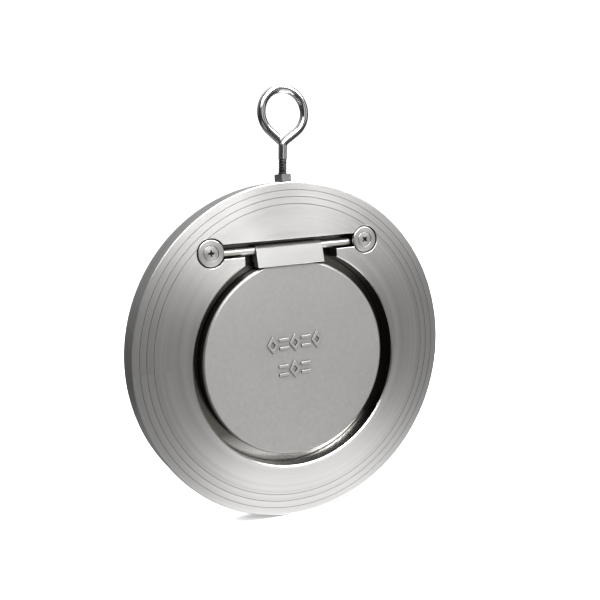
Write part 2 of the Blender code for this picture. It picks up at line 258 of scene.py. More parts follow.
def drawn(name, points, closed=False):
    """A line from point to point, drawn by extruding one vertex. It stays in edit mode."""
    piece = add(name, bpy.ops.mesh.primitive_plane_add, size=MM)
    bpy.ops.object.mode_set(mode='EDIT')
    bpy.ops.mesh.select_mode(type='VERT')
    bpy.ops.mesh.select_all(action='SELECT')
    bpy.ops.mesh.merge(type='CENTER')
    points = [Vector(point) for point in points]
    if closed:
        points.append(points[0])
    bpy.ops.transform.translate(value=points[0])
    for before, after in zip(points, points[1:]):
        push(after - before)
    return piece


def turned(name, outline, centre, steps=LATHE_STEPS, axis=(0, 1, 0), closed=False):
    """A lathe-turned piece. Its outline gives (radius, place along the axis) from corner to
    corner, and is spun about the axis."""
    centre, along = Vector(centre), Vector(axis)
    out = Vector((1, 0, 0)) if along.z else Vector((0, 0, 1))
    piece = drawn(name, [centre + out * radius + along * place for radius, place in outline], closed)
    bpy.ops.mesh.select_all(action='SELECT')
    bpy.ops.mesh.spin(steps=steps, angle=math.tau, center=centre, axis=along)
    close_shell()
    return piece


def rounded(corners, radius, steps=3):
    """An open outline with each inner corner replaced by a short arc."""
    outline = [corners[0]]
    for before, corner, after in zip(corners, corners[1:], corners[2:]):
        here = Vector(corner)
        back, ahead = Vector(before) - here, Vector(after) - here
        reach = min(radius, back.length * 0.45, ahead.length * 0.45)
        start, end = here + back.normalized() * reach, here + ahead.normalized() * reach
        for i in range(steps + 1):
            t = i / steps
            outline.append(tuple(start * (1 - t) ** 2 + here * 2 * t * (1 - t) + end * t * t))
    outline.append(corners[-1])
    return outline


def apply_modifier(piece, kind, **settings):
    """Adds a modifier with its settings and applies it."""
    deselect_all()
    bpy.context.view_layer.objects.active = piece
    piece.select_set(True)
    modifier = piece.modifiers.new(kind.lower(), kind)
    for label, value in settings.items():
        setattr(modifier, label, value)
    bpy.ops.object.modifier_apply(modifier=modifier.name)


def carve(piece, *cutters, operation='DIFFERENCE', solver='EXACT'):
    """Cuts pieces out of a piece, or does another Boolean with them, one after the other."""
    for cutter in cutters:
        apply_modifier(piece, 'BOOLEAN', operation=operation, solver=solver, object=cutter)
        bpy.data.objects.remove(cutter, do_unlink=True)


def block(name, low, high):
    """A box between two corners."""
    low, high = Vector(low), Vector(high)
    piece = add(name, bpy.ops.mesh.primitive_cube_add, size=1, location=(low + high) / 2)
    bpy.ops.transform.resize(value=high - low)
    bpy.ops.object.transform_apply(location=True, rotation=True, scale=True)
    return piece


def bevel_edges(piece, width, segments, wanted):
    """Bevels the edges whose middle and direction pass a test."""
    edit(piece)
    pick(piece, 'edges', wanted)
    bpy.ops.mesh.bevel(offset=width, segments=segments, affect='EDGES')
    bpy.ops.object.mode_set(mode='OBJECT')


def milled_cutter(name, left, low, right, high, floor, corner):
    """A cutter for a milled recess in the front face, with round corners and a flared mouth
    that breaks the edge."""
    mouth = FRONT + EDGE_BREAK
    piece = block(name, (left, mouth, low), (right, floor, high))
    bevel_edges(piece, corner, CORNER_STEPS, lambda middle, run: abs(run.y) > 0.99)
    rise = EDGE_BREAK + BEYOND
    wide, tall = right - left, high - low
    edit(piece)
    pick(piece, 'polygons', lambda middle, normal: normal.y < -0.9)
    push((0, -rise, 0))
    bpy.ops.transform.resize(value=((wide + 2 * rise) / wide, 1, (tall + 2 * rise) / tall),
                             center_override=((left + right) / 2, mouth - rise, (low + high) / 2))
    bpy.ops.object.mode_set(mode='OBJECT')
    return piece


def refinish(piece, material, wanted):
    """Gives the faces that pass a test a second finish."""
    piece.data.materials.append(material)
    edit(piece)
    pick(piece, 'polygons', wanted)
    piece.active_material_index = len(piece.data.materials) - 1
    bpy.ops.object.material_slot_assign()
    bpy.ops.object.mode_set(mode='OBJECT')


def finish_piece(piece, body, node, material):
    """Smooths a finished piece, gives it its material and puts it in its node's place."""
    deselect_all()
    bpy.context.view_layer.objects.active = piece
    piece.select_set(True)
    bpy.ops.object.shade_smooth_by_angle(angle=SMOOTH_ANGLE)
    apply_modifier(piece, 'WEIGHTED_NORMAL', keep_sharp=True, weight=100)
    piece.data.materials.clear()
    piece.data.materials.append(material)
    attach(piece, body)
    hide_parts(node)


# ---------------------------------------------------------------- shader helpers

def node_group(name, inputs, outputs):
    """A new group with its given sockets and the sockets that it fills."""
    group = bpy.data.node_groups.new(name, 'ShaderNodeTree')
    for label, kind, value in inputs:
        group.interface.new_socket(label, in_out='INPUT', socket_type=kind).default_value = value
    for label in outputs:
        group.interface.new_socket(label, in_out='OUTPUT', socket_type='NodeSocketFloat')
    return group, group.nodes.new('NodeGroupInput').outputs, group.nodes.new('NodeGroupOutput').inputs


def wire_up(tree, value, socket):
    """Links an output to a socket, or sets the socket to a plain value."""
    if isinstance(value, bpy.types.NodeSocket):
        tree.links.new(value, socket)
    elif isinstance(value, tuple) and socket.type == 'RGBA':
        socket.default_value = (*value, 1.0)
    else:
        socket.default_value = value


def sums(tree, operation, *values):
    """A Math node on values or sockets."""
    node = tree.nodes.new('ShaderNodeMath')
    node.operation = operation
    for value, socket in zip(values, node.inputs):
        wire_up(tree, value, socket)
    return node.outputs[0]


def noise(tree, place, scale, detail, roughness):
    node = tree.nodes.new('ShaderNodeTexNoise')
    for label, value in (('Vector', place), ('Scale', scale), ('Detail', detail), ('Roughness', roughness)):
        wire_up(tree, value, node.inputs[label])
    return node.outputs['Fac']


def spread(tree, value, low, high, first=0.0, last=1.0):
    """Maps a value between two limits to another range, and stops at its ends."""
    node = tree.nodes.new('ShaderNodeMapRange')
    for label, limit in (('From Min', low), ('From Max', high), ('To Min', first), ('To Max', last)):
        wire_up(tree, limit, node.inputs[label])
    wire_up(tree, value, node.inputs['Value'])
    return node.outputs['Result']


def blend_colour(tree, factor, first, second):
    node = tree.nodes.new('ShaderNodeMix')
    node.data_type = 'RGBA'
    for label, value in (('Factor_Float', factor), ('A_Color', first), ('B_Color', second)):
        wire_up(tree, value, next(s for s in node.inputs if s.identifier == label))
    return next(s for s in node.outputs if s.identifier == 'Result_Color')


def place_group(tree, name, **values):
    """Puts a shared effect into a tree and sets its inputs."""
    node = tree.nodes.new('ShaderNodeGroup')
    node.node_tree = GROUPS[name]
    for label, value in values.items():
        wire_up(tree, value, node.inputs[label])
    return node.outputs


def object_place(tree, stretch=None):
    """The place on the object in its own frame, which a stretch can scale along its axes."""
    place = tree.nodes.new('ShaderNodeTexCoord').outputs['Object']
    if not stretch:
        return place
    mapping = tree.nodes.new('ShaderNodeMapping')
    tree.links.new(place, mapping.inputs['Vector'])
    mapping.inputs['Scale'].default_value = stretch
    return mapping.outputs[0]


def bump(tree, height, strength, distance):
    node = tree.nodes.new('ShaderNodeBump')
    node.inputs['Strength'].default_value = strength
    node.inputs['Distance'].default_value = distance
    tree.links.new(height, node.inputs['Height'])
    return node.outputs['Normal']


# ---------------------------------------------------------------- shared effects

MARKS_DRIFT = 0.5 * MM               # how much turning marks change over a radian round the axis
RINGS_PITCH = 0.2                    # scale of the rings of tone as a share of the fine marks'
TONE_SIZE = 0.25                     # scale of the tone as a share of the fine grain's
SOOT_AND_SHADE_REACH = 12 * MM                 # how far across a crevice may be; painted shade and soot are laid on within this reach
EDGE_SHARP, EDGE_WORN_AND_HIGHLIT = 0.995, 0.85  # cosines of the turn at an edge, not worn and fully worn; the worn edge also carries a painted highlight


def turning_marks():
    """Tool marks about an axis along Y: fine grooves, and broader rings of tone."""
    group, given, out = node_group("turning_marks", [("Middle", 'NodeSocketVector', (0, 0, 0)),
                                                     ("Pitch", 'NodeSocketFloat', 1500.0)],
                                   ("Height", "Tone"))
    offset = group.nodes.new('ShaderNodeVectorMath')
    offset.operation = 'SUBTRACT'
    wire_up(group, object_place(group), offset.inputs[0])
    wire_up(group, given["Middle"], offset.inputs[1])
    parts = group.nodes.new('ShaderNodeSeparateXYZ')
    wire_up(group, offset.outputs[0], parts.inputs[0])
    x, y, z = parts.outputs
    radius = sums(group, 'SQRT', sums(group, 'ADD', sums(group, 'MULTIPLY', x, x),
                                      sums(group, 'MULTIPLY', z, z)))
    spot = group.nodes.new('ShaderNodeCombineXYZ')
    wire_up(group, radius, spot.inputs[0])
    wire_up(group, y, spot.inputs[1])
    wire_up(group, sums(group, 'MULTIPLY', sums(group, 'ARCTAN2', z, x), MARKS_DRIFT), spot.inputs[2])
    fine = noise(group, spot.outputs[0], given["Pitch"], detail=3.0, roughness=0.7)
    wire_up(group, fine, out["Height"])
    rings = sums(group, 'MULTIPLY', given["Pitch"], RINGS_PITCH)
    wire_up(group, noise(group, spot.outputs[0], rings, detail=3.0, roughness=0.6), out["Tone"])
    return group


def blasted_grain():
    """The even pitted grain of a blasted casting, with finely mottled tone."""
    group, given, out = node_group("blasted_grain", [("Size", 'NodeSocketFloat', 1400.0)],
                                   ("Height", "Tone"))
    place = object_place(group)
    wire_up(group, noise(group, place, given["Size"], detail=4.0, roughness=0.65), out["Height"])
    clouds = sums(group, 'MULTIPLY', given["Size"], TONE_SIZE)
    wire_up(group, noise(group, place, clouds, detail=4.0, roughness=0.55), out["Tone"])
    return group


def drawn_lines():
    """Fine straight lines left by milling, drawing or polishing, along the place's short scale."""
    group, given, out = node_group("drawn_lines", [("Place", 'NodeSocketVector', (0, 0, 0)),
                                                   ("Size", 'NodeSocketFloat', 2500.0)],
                                   ("Height", "Tone"))
    fine = noise(group, given["Place"], given["Size"], detail=3.0, roughness=0.7)
    wire_up(group, fine, out["Height"])
    broad = sums(group, 'MULTIPLY', given["Size"], TONE_SIZE)
    wire_up(group, noise(group, given["Place"], broad, detail=2.0, roughness=0.5), out["Tone"])
    return group


def crevice_soot_and_shade():
    """A mask of narrow places from ambient occlusion: painted shade where light hardly reaches, with some
    soot.
    """
    group, given, out = node_group("crevice_soot_and_shade", [("Reach", 'NodeSocketFloat', SOOT_AND_SHADE_REACH)], ("Mask",))
    hidden = group.nodes.new('ShaderNodeAmbientOcclusion')
    hidden.samples = 8
    wire_up(group, given["Reach"], hidden.inputs['Distance'])
    wire_up(group, spread(group, hidden.outputs['AO'], 0.25, 0.9, first=1.0, last=0.0), out["Mask"])
    return group


def worn_and_highlit_edges():
    """A broken mask along outer edges: partly where handling has polished the metal, partly a painted
    highlight that stands in for the glint of a rounded edge.
    """
    group, given, out = node_group("worn_and_highlit_edges", [("Width", 'NodeSocketFloat', 0.6 * MM)], ("Mask",))
    bevel = group.nodes.new('ShaderNodeBevel')
    bevel.samples = 4
    wire_up(group, given["Width"], bevel.inputs['Radius'])
    facing = group.nodes.new('ShaderNodeVectorMath')
    facing.operation = 'DOT_PRODUCT'
    wire_up(group, bevel.outputs[0], facing.inputs[0])
    wire_up(group, group.nodes.new('ShaderNodeNewGeometry').outputs['Normal'], facing.inputs[1])
    patches = noise(group, object_place(group), 220.0, detail=3.0, roughness=0.6)
    broken = spread(group, patches, 0.35, 0.6, first=0.35, last=1.0)
    turned_away = spread(group, facing.outputs['Value'], EDGE_SHARP, EDGE_WORN_AND_HIGHLIT)
    wire_up(group, sums(group, 'MULTIPLY', turned_away, broken), out["Mask"])
    return group


def smudges():
    """Cloudy marks of handling and of dried oil."""
    group, given, out = node_group("smudges", [("Size", 'NodeSocketFloat', 28.0)], ("Mask",))
    clouds = noise(group, object_place(group), given["Size"], detail=5.0, roughness=0.62)
    wire_up(group, spread(group, clouds, 0.42, 0.68), out["Mask"])
    return group


# ---------------------------------------------------------------- finishes

# near-black of soot and of the painted shade in crevices
SOOT_AND_SHADE = (0.010, 0.009, 0.008)
EDGE_POLISH = 0.08                   # how much smoother a worn edge is


def new_finish(name, metallic=1.0):
    """A new material with its node tree and its Principled shader."""
    material = bpy.data.materials.new(name)
    material.use_nodes = True
    shader = material.node_tree.nodes['Principled BSDF']
    shader.inputs['Metallic'].default_value = metallic
    return material, material.node_tree, shader


def dress(tree, shader, tone, height, colours, roughness, edge_wear_and_highlight, grain, soot_and_shade_reach=SOOT_AND_SHADE_REACH):
    """Puts together what every finish has: two tones, smudges, worn edges partly brightened as a painted
    highlight, crevices darkened as painted shade with some soot, roughness that follows them, and the
    grain's bump. Colours are the dark and light tone and the worn, highlit edge, roughness is its middle
    and spread, and grain the bump's strength and depth."""
    dark, light, bright = colours
    smears = place_group(tree, "smudges")["Mask"]
    soot_and_shade = place_group(tree, "crevice_soot_and_shade", Reach=soot_and_shade_reach)["Mask"]
    edges = place_group(tree, "worn_and_highlit_edges")["Mask"]
    tone = spread(tree, tone, 0.3, 0.7)
    colour = blend_colour(tree, tone, dark, light)
    # edges brightened: partly polish from wear, partly a painted highlight along each edge
    colour = blend_colour(tree, sums(tree, 'MULTIPLY', edges, edge_wear_and_highlight), colour, bright)
    # painted shade: crevices darkened towards near-black by occlusion, with some soot
    colour = blend_colour(tree, soot_and_shade, colour, SOOT_AND_SHADE)
    wire_up(tree, colour, shader.inputs['Base Color'])
    fine, dull = roughness
    base = spread(tree, tone, 0.0, 1.0, fine + dull, fine - dull)
    smeared = sums(tree, 'MULTIPLY_ADD', smears, dull, base)
    polished = sums(tree, 'MULTIPLY_ADD', edges, -EDGE_POLISH * edge_wear_and_highlight, smeared)
    wire_up(tree, polished, shader.inputs['Roughness'])
    strength, distance = grain
    wire_up(tree, bump(tree, height, strength, distance), shader.inputs['Normal'])


def set_fan_highlight(tree, shader, anisotropy):
    """Stretches the highlights across the turning marks, so that they fan out from the middle."""
    shader.inputs['Anisotropic'].default_value = anisotropy
    shader.inputs['Anisotropic Rotation'].default_value = 0.25
    tangent = tree.nodes.new('ShaderNodeTangent')
    tangent.direction_type = 'RADIAL'
    tangent.axis = 'Y'
    tree.links.new(tangent.outputs[0], shader.inputs['Tangent'])


def turned_ring_steel():
    material, tree, shader = new_finish("turned_ring_steel")
    marks = place_group(tree, "turning_marks", Middle=(0, 0, 0), Pitch=1300.0)
    dress(tree, shader, marks["Tone"], marks["Height"],
          colours=((0.53, 0.52, 0.51), (0.66, 0.65, 0.64), (0.80, 0.79, 0.78)),
          roughness=(0.33, 0.03), edge_wear_and_highlight=0.6, grain=(0.25, 0.02 * MM))
    set_fan_highlight(tree, shader, 0.75)
    return material


def turned_rim_steel():
    """The ring's outer side: a coarser, darker cut, with its marks running round it."""
    material, tree, shader = new_finish("turned_rim_steel")
    marks = place_group(tree, "turning_marks", Middle=(0, 0, 0), Pitch=1300.0)
    dress(tree, shader, marks["Tone"], marks["Height"],
          colours=((0.38, 0.375, 0.37), (0.54, 0.535, 0.53), (0.74, 0.73, 0.72)),
          roughness=(0.36, 0.04), edge_wear_and_highlight=0.6, grain=(0.3, 0.02 * MM))
    return material


LIT_BOTTOM_FROM = -45 * MM              # from the flap's middle: the lower part of the pocket, painted lighter where it faces the lamps above
LIT_BOTTOM_FULLY = -62 * MM


def bored_pocket_steel():
    """The ring's inner surfaces: dark with painted shade and some brown oil stain, and painted lighter at
    the bottom, where they face the lamps above.
    """
    material, tree, shader = new_finish("bored_pocket_steel")
    marks = place_group(tree, "turning_marks", Middle=(0, 0, FLAP_Z), Pitch=1600.0)
    parts = tree.nodes.new('ShaderNodeSeparateXYZ')
    tree.links.new(object_place(tree), parts.inputs[0])
    # painted light: the pocket is lighter towards the bottom, which faces the lamps; higher up its dark
    # colour is painted shade
    lit_bottom = spread(tree, parts.outputs['Z'], FLAP_Z + LIT_BOTTOM_FROM, FLAP_Z + LIT_BOTTOM_FULLY)
    dark = blend_colour(tree, lit_bottom, (0.11, 0.10, 0.09), (0.56, 0.55, 0.53))
    light = blend_colour(tree, lit_bottom, (0.17, 0.16, 0.145), (0.70, 0.69, 0.67))
    dress(tree, shader, marks["Tone"], marks["Height"], colours=(dark, light, (0.62, 0.61, 0.60)),
          roughness=(0.22, 0.03), edge_wear_and_highlight=0.5, grain=(0.15, 0.015 * MM), soot_and_shade_reach=2 * MM)
    return material


def blasted_flap_steel():
    material, tree, shader = new_finish("blasted_flap_steel")
    grain = place_group(tree, "blasted_grain", Size=1300.0)
    dress(tree, shader, grain["Tone"], grain["Height"],
          colours=((0.41, 0.40, 0.395), (0.46, 0.45, 0.44), (0.58, 0.57, 0.56)),
          roughness=(0.46, 0.02), edge_wear_and_highlight=0.3, grain=(0.8, 0.08 * MM))
    return material


def milled_lug_steel():
    material, tree, shader = new_finish("milled_lug_steel")
    lines = place_group(tree, "drawn_lines", Place=object_place(tree, (0.03, 1, 1)), Size=2600.0)
    dress(tree, shader, lines["Tone"], lines["Height"],
          colours=((0.53, 0.525, 0.52), (0.57, 0.565, 0.56), (0.72, 0.715, 0.71)),
          roughness=(0.34, 0.02), edge_wear_and_highlight=0.6, grain=(0.12, 0.015 * MM), soot_and_shade_reach=2 * MM)
    return material


def drawn_pin_steel():
    material, tree, shader = new_finish("drawn_pin_steel")
    lines = place_group(tree, "drawn_lines", Place=object_place(tree, (0.02, 1, 1)), Size=3000.0)
    dress(tree, shader, lines["Tone"], lines["Height"],
          colours=((0.56, 0.55, 0.54), (0.64, 0.63, 0.62), (0.78, 0.77, 0.76)),
          roughness=(0.40, 0.03), edge_wear_and_highlight=0.6, grain=(0.15, 0.015 * MM), soot_and_shade_reach=2 * MM)
    return material


def turned_keeper_steel(side):
    """Bright turned washers and screws; the marks run round each one's own middle."""
    material, tree, shader = new_finish("turned_keeper_steel_" + side)
    low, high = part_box("pin_washer_" + side)
    marks = place_group(tree, "turning_marks", Middle=tuple((low + high) / 2), Pitch=3000.0)
    dress(tree, shader, marks["Tone"], marks["Height"],
          colours=((0.56, 0.55, 0.54), (0.64, 0.63, 0.62), (0.78, 0.77, 0.76)),
          roughness=(0.34, 0.03), edge_wear_and_highlight=0.5, grain=(0.15, 0.015 * MM), soot_and_shade_reach=3 * MM)
    set_fan_highlight(tree, shader, 0.4)
    return material


def polished_wire_steel():
    material, tree, shader = new_finish("polished_wire_steel")
    lines = place_group(tree, "drawn_lines", Place=object_place(tree, (1, 1, 0.2)), Size=1500.0)
    dress(tree, shader, lines["Tone"], lines["Height"],
          colours=((0.50, 0.50, 0.50), (0.56, 0.56, 0.56), (0.60, 0.60, 0.60)),
          roughness=(0.13, 0.02), edge_wear_and_highlight=0.1, grain=(0.02, 0.01 * MM), soot_and_shade_reach=1.5 * MM)
    return material


# a much darker colour on the threaded part of the wire
def dark_thread_steel():
    material, tree, shader = new_finish("dark_thread_steel")
    lines = place_group(tree, "drawn_lines", Place=object_place(tree, (1, 1, 0.3)), Size=1500.0)
    dress(tree, shader, lines["Tone"], lines["Height"],
          colours=((0.07, 0.07, 0.068), (0.16, 0.158, 0.155), (0.50, 0.50, 0.50)),
          roughness=(0.30, 0.03), edge_wear_and_highlight=0.5, grain=(0.1, 0.015 * MM), soot_and_shade_reach=3 * MM)
    return material


def bright_nut_steel():
    material, tree, shader = new_finish("bright_nut_steel")
    lines = place_group(tree, "drawn_lines", Place=object_place(tree, (1, 1, 0.05)), Size=2400.0)
    dress(tree, shader, lines["Tone"], lines["Height"],
          colours=((0.46, 0.46, 0.45), (0.58, 0.58, 0.57), (0.86, 0.86, 0.85)),
          roughness=(0.26, 0.04), edge_wear_and_highlight=1.0, grain=(0.2, 0.02 * MM), soot_and_shade_reach=1.5 * MM)
    return material


def black_seal_rubber():
    material, tree, shader = new_finish("black_seal_rubber", metallic=0.0)
    grain = place_group(tree, "blasted_grain", Size=2200.0)
    dress(tree, shader, grain["Tone"], grain["Height"],
          colours=((0.012, 0.012, 0.013), (0.028, 0.028, 0.030), (0.05, 0.05, 0.05)),
          roughness=(0.52, 0.06), edge_wear_and_highlight=0.4, grain=(0.2, 0.03 * MM), soot_and_shade_reach=1 * MM)
    return material


# ---------------------------------------------------------------- pieces

def ring_outline():
    """Half of the ring's section: the face with its narrow grooves, then the chamfered rim."""
    face = [(0, FRONT)]
    for radius in GROOVE_RADII:
        face += [(radius - GROOVE_HALF_WIDTH, FRONT),
                 (radius - GROOVE_HALF_FLOOR, FRONT + GROOVE_DEPTH),
                 (radius + GROOVE_HALF_FLOOR, FRONT + GROOVE_DEPTH),
                 (radius + GROOVE_HALF_WIDTH, FRONT)]
    rim = rounded([face[-1], (RING_RADIUS - RING_CHAMFER, FRONT),
                   (RING_RADIUS, FRONT + RING_CHAMFER), (RING_RADIUS, 0)], TURNED_ROUND)
    return face + rim[1:]


def pocket_cutter():
    """The eccentric pocket with its flared mouth, filleted floor, seal groove and bore."""
    seal_out = SEAL_HIGH.x + CLEARANCE
    seal_in = SEAL_HIGH.x - SEAL_THICKNESS - CLEARANCE
    groove_floor = SEAL_HIGH.y + CLEARANCE
    wall = rounded([(POCKET_RADIUS, FRONT + POCKET_CHAMFER), (POCKET_RADIUS, POCKET_FLOOR),
                    (seal_out, POCKET_FLOOR)], POCKET_FILLET)
    return turned("pocket", [(0, FRONT - BEYOND),
                             (POCKET_RADIUS + POCKET_CHAMFER + BEYOND, FRONT - BEYOND), *wall,
                             (seal_out, groove_floor), (seal_in, groove_floor),
                             (seal_in, POCKET_FLOOR), (BORE_RADIUS + EDGE_BREAK, POCKET_FLOOR),
                             (BORE_RADIUS, POCKET_FLOOR + EDGE_BREAK),
                             (BORE_RADIUS, BACK - BORE_CHAMFER),
                             (BORE_RADIUS + BORE_CHAMFER + BEYOND, BACK + BEYOND),
                             (0, BACK + BEYOND)], (0, 0, FLAP_Z))


def keeper_hole_cutter(side):
    """The counterbore of a washer with the drilled hole of its screw."""
    low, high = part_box("pin_washer_" + side)
    middle = (low + high) / 2
    sink = high.y + CLEARANCE
    bottom = FRONT + SCREW_HOLE_DEPTH
    return turned("keeper_hole_" + side,
                  [(0, FRONT - BEYOND), (COUNTERBORE_RADIUS + EDGE_BREAK + BEYOND, FRONT - BEYOND),
                   (COUNTERBORE_RADIUS, FRONT + EDGE_BREAK), (COUNTERBORE_RADIUS, sink),
                   (SCREW_HOLE_RADIUS, sink), (SCREW_HOLE_RADIUS, bottom),
                   (0, bottom + DRILL_POINT)], (middle.x, 0, middle.z), SMALL_STEPS)


def bolt_hole_cutter():
    """The flared hole of the eye bolt in the ring's top."""
    hole = (BOLT_HIGH.y - BOLT_LOW.y) / 2 + CLEARANCE + EDGE_BREAK
    return turned("bolt_hole", [(0, RING_RADIUS + BEYOND),
                                (hole + BOLT_HOLE_FLARE + BEYOND, RING_RADIUS + BEYOND),
                                (hole, RING_RADIUS - BOLT_HOLE_FLARE),
                                (hole, BOLT_LOW.z - CLEARANCE),
                                (0, BOLT_LOW.z - DRILL_POINT)],
                  (BOLT_X, 0, 0), SMALL_STEPS, axis=(0, 0, 1))


def is_rim(middle, normal):
    return middle.xz.length > RING_RADIUS - RING_CHAMFER


def is_inside(middle, normal):
    """Whether a face of the ring belongs to its pocket, bore, slot or holes."""
    return abs(middle.y) < BACK - POCKET_CHAMFER and middle.xz.length < RING_RADIUS - 2 * RING_CHAMFER


def make_ring():
    """The turned ring with everything that is bored, milled or drilled into it."""
    half = ring_outline()
    outline = half + [(radius, -place) for radius, place in reversed(half[:-1])]
    ring = turned("body_ring_fine", outline, (0, 0, 0))
    notch = milled_cutter("notch", -NOTCH_HALF_WIDTH, POCKET_RADIUS / 2, NOTCH_HALF_WIDTH,
                          SLOT_LOW_Z + BEYOND, POCKET_FLOOR, MILLED_CORNER)
    slot = milled_cutter("slot", -SLOT_HALF_LENGTH, SLOT_LOW_Z, SLOT_HALF_LENGTH, SLOT_HIGH_Z,
                         SLOT_FLOOR, MILLED_CORNER)
    # The EXACT solver leaves the ring open at one of the screw holes
    carve(ring, pocket_cutter(), notch, slot, keeper_hole_cutter("left"),
          keeper_hole_cutter("right"), bolt_hole_cutter(), solver='MANIFOLD')
    finish_piece(ring, "valve_body", "body_ring", turned_ring_steel())
    refinish(ring, turned_rim_steel(), is_rim)
    refinish(ring, bored_pocket_steel(), is_inside)


def make_seal():
    """The O-ring in the pocket's floor, with the fine flash of its mould on both sides."""
    radius = SEAL_THICKNESS / 2
    flash = 0.05 * MM
    section = []
    for i in range(SEAL_CORNERS):
        angle = math.tau * i / SEAL_CORNERS
        reach = radius + (flash if i % (SEAL_CORNERS // 2) == 0 else 0)
        section.append((SEAL_HIGH.x - radius + reach * math.cos(angle) - flash,
                        (SEAL_LOW.y + SEAL_HIGH.y) / 2 + radius * math.sin(angle)))
    seal = turned("seat_seal_fine", section, (0, 0, FLAP_Z), SEAL_STEPS, closed=True)
    finish_piece(seal, "valve_body", "seat_seal", black_seal_rubber())


def raised_lozenge(height):
    """One outlined lozenge, standing on the flap's face at the flap's middle."""
    piece = add("lozenge", bpy.ops.mesh.primitive_circle_add, vertices=4, radius=0.5,
                fill_type='NGON', location=(0, DISC_LOW.y + MARK_ROOT, 0),
                rotation=(math.pi / 2, 0, 0))
    bpy.ops.transform.resize(value=(MARK_SIZE[0], 1, MARK_SIZE[1]))
    bpy.ops.object.transform_apply(location=True, rotation=True, scale=True)
    bpy.ops.object.mode_set(mode='EDIT')
    bpy.ops.mesh.select_all(action='SELECT')
    bpy.ops.mesh.inset(thickness=MARK_STROKE)
    bpy.ops.mesh.delete(type='FACE')
    bpy.ops.mesh.select_all(action='SELECT')
    push((0, -height, 0))
    close_shell()
    return piece


def raised_bars(height):
    """Two short level bars, one above the other."""
    low = DISC_LOW.y + MARK_ROOT
    reach = MARK_SIZE[0] * BAR_REACH
    rise = MARK_SIZE[1] * BAR_RISE
    bars = [block("bar", (-reach, low - height, z - MARK_STROKE / 2), (reach, low, z + MARK_STROKE / 2))
            for z in (-rise, rise)]
    deselect_all()
    for bar in bars:
        bar.select_set(True)
    bpy.context.view_layer.objects.active = bars[0]
    bpy.ops.object.join()
    return bpy.context.object


def cast_mark():
    """Two rows of lozenges and bars, cast proud of the flap's face."""
    height = MARK_HEIGHT + MARK_ROOT
    top = DISC_LOW.y - MARK_HEIGHT
    masters = [raised_lozenge(height), raised_bars(height)]
    for master in masters:
        bevel_edges(master, MARK_BEVEL, BEVEL_STEPS, lambda middle, run: middle.y < top + HAIR)
    copies = []
    for row, (x, z, count) in enumerate(MARK_ROWS):
        for i in range(count):
            deselect_all()
            master = masters[(i + row) % 2]
            master.select_set(True)
            bpy.context.view_layer.objects.active = master
            bpy.ops.object.duplicate()
            bpy.ops.transform.translate(value=(x + (i - (count - 1) / 2) * MARK_PITCH, 0, z))
            bpy.ops.object.transform_apply(location=True, rotation=True, scale=True)
            copies.append(bpy.context.object)
    for master in masters:
        bpy.data.objects.remove(master, do_unlink=True)
    deselect_all()
    for copy in copies:
        copy.select_set(True)
    bpy.context.view_layer.objects.active = copies[0]
    bpy.ops.object.join()
    return bpy.context.object


def make_disc():
    """The flap: chamfered, dished at the back, rebated for its lug and marked on its face."""
    front, back = DISC_LOW.y, DISC_HIGH.y
    rim = rounded([(DISC_RADIUS - DISC_BAND, front), (DISC_RADIUS - DISC_CHAMFER, front),
                   (DISC_RADIUS, front + DISC_CHAMFER), (DISC_RADIUS, back - DISC_CHAMFER / 2),
                   (DISC_RADIUS - DISC_CHAMFER / 2, back), (DISC_DISH_RADIUS, back),
                   (DISC_DISH_RADIUS - DISC_DISH, back - DISC_DISH),
                   (DISC_DISH_RADIUS - DISC_BAND, back - DISC_DISH)], DISC_ROUND)
    disc = turned("clapper_disc_fine", [(0, front), *rim, (0, back - DISC_DISH)], (0, 0, FLAP_Z))
    rebate = block("lug_rebate", (LUG_LOW.x - CLEARANCE, FRONT - BEYOND, LUG_LOW.z - CLEARANCE),
                   (LUG_HIGH.x + CLEARANCE, REBATE_BACK, LUG_HEEL_Z + BEYOND))
    carve(disc, rebate)
    carve(disc, cast_mark(), operation='UNION')
    finish_piece(disc, "clapper", "clapper_disc", blasted_flap_steel())


def is_lug_edge(middle, run):
    """Whether an edge of the lug lies on one of its ends or along its foot."""
    on_end = abs(abs(middle.x) - LUG_HIGH.x) < HAIR
    return on_end or (abs(run.x) > 0.99 and middle.z < LUG_LOW.z + HAIR)


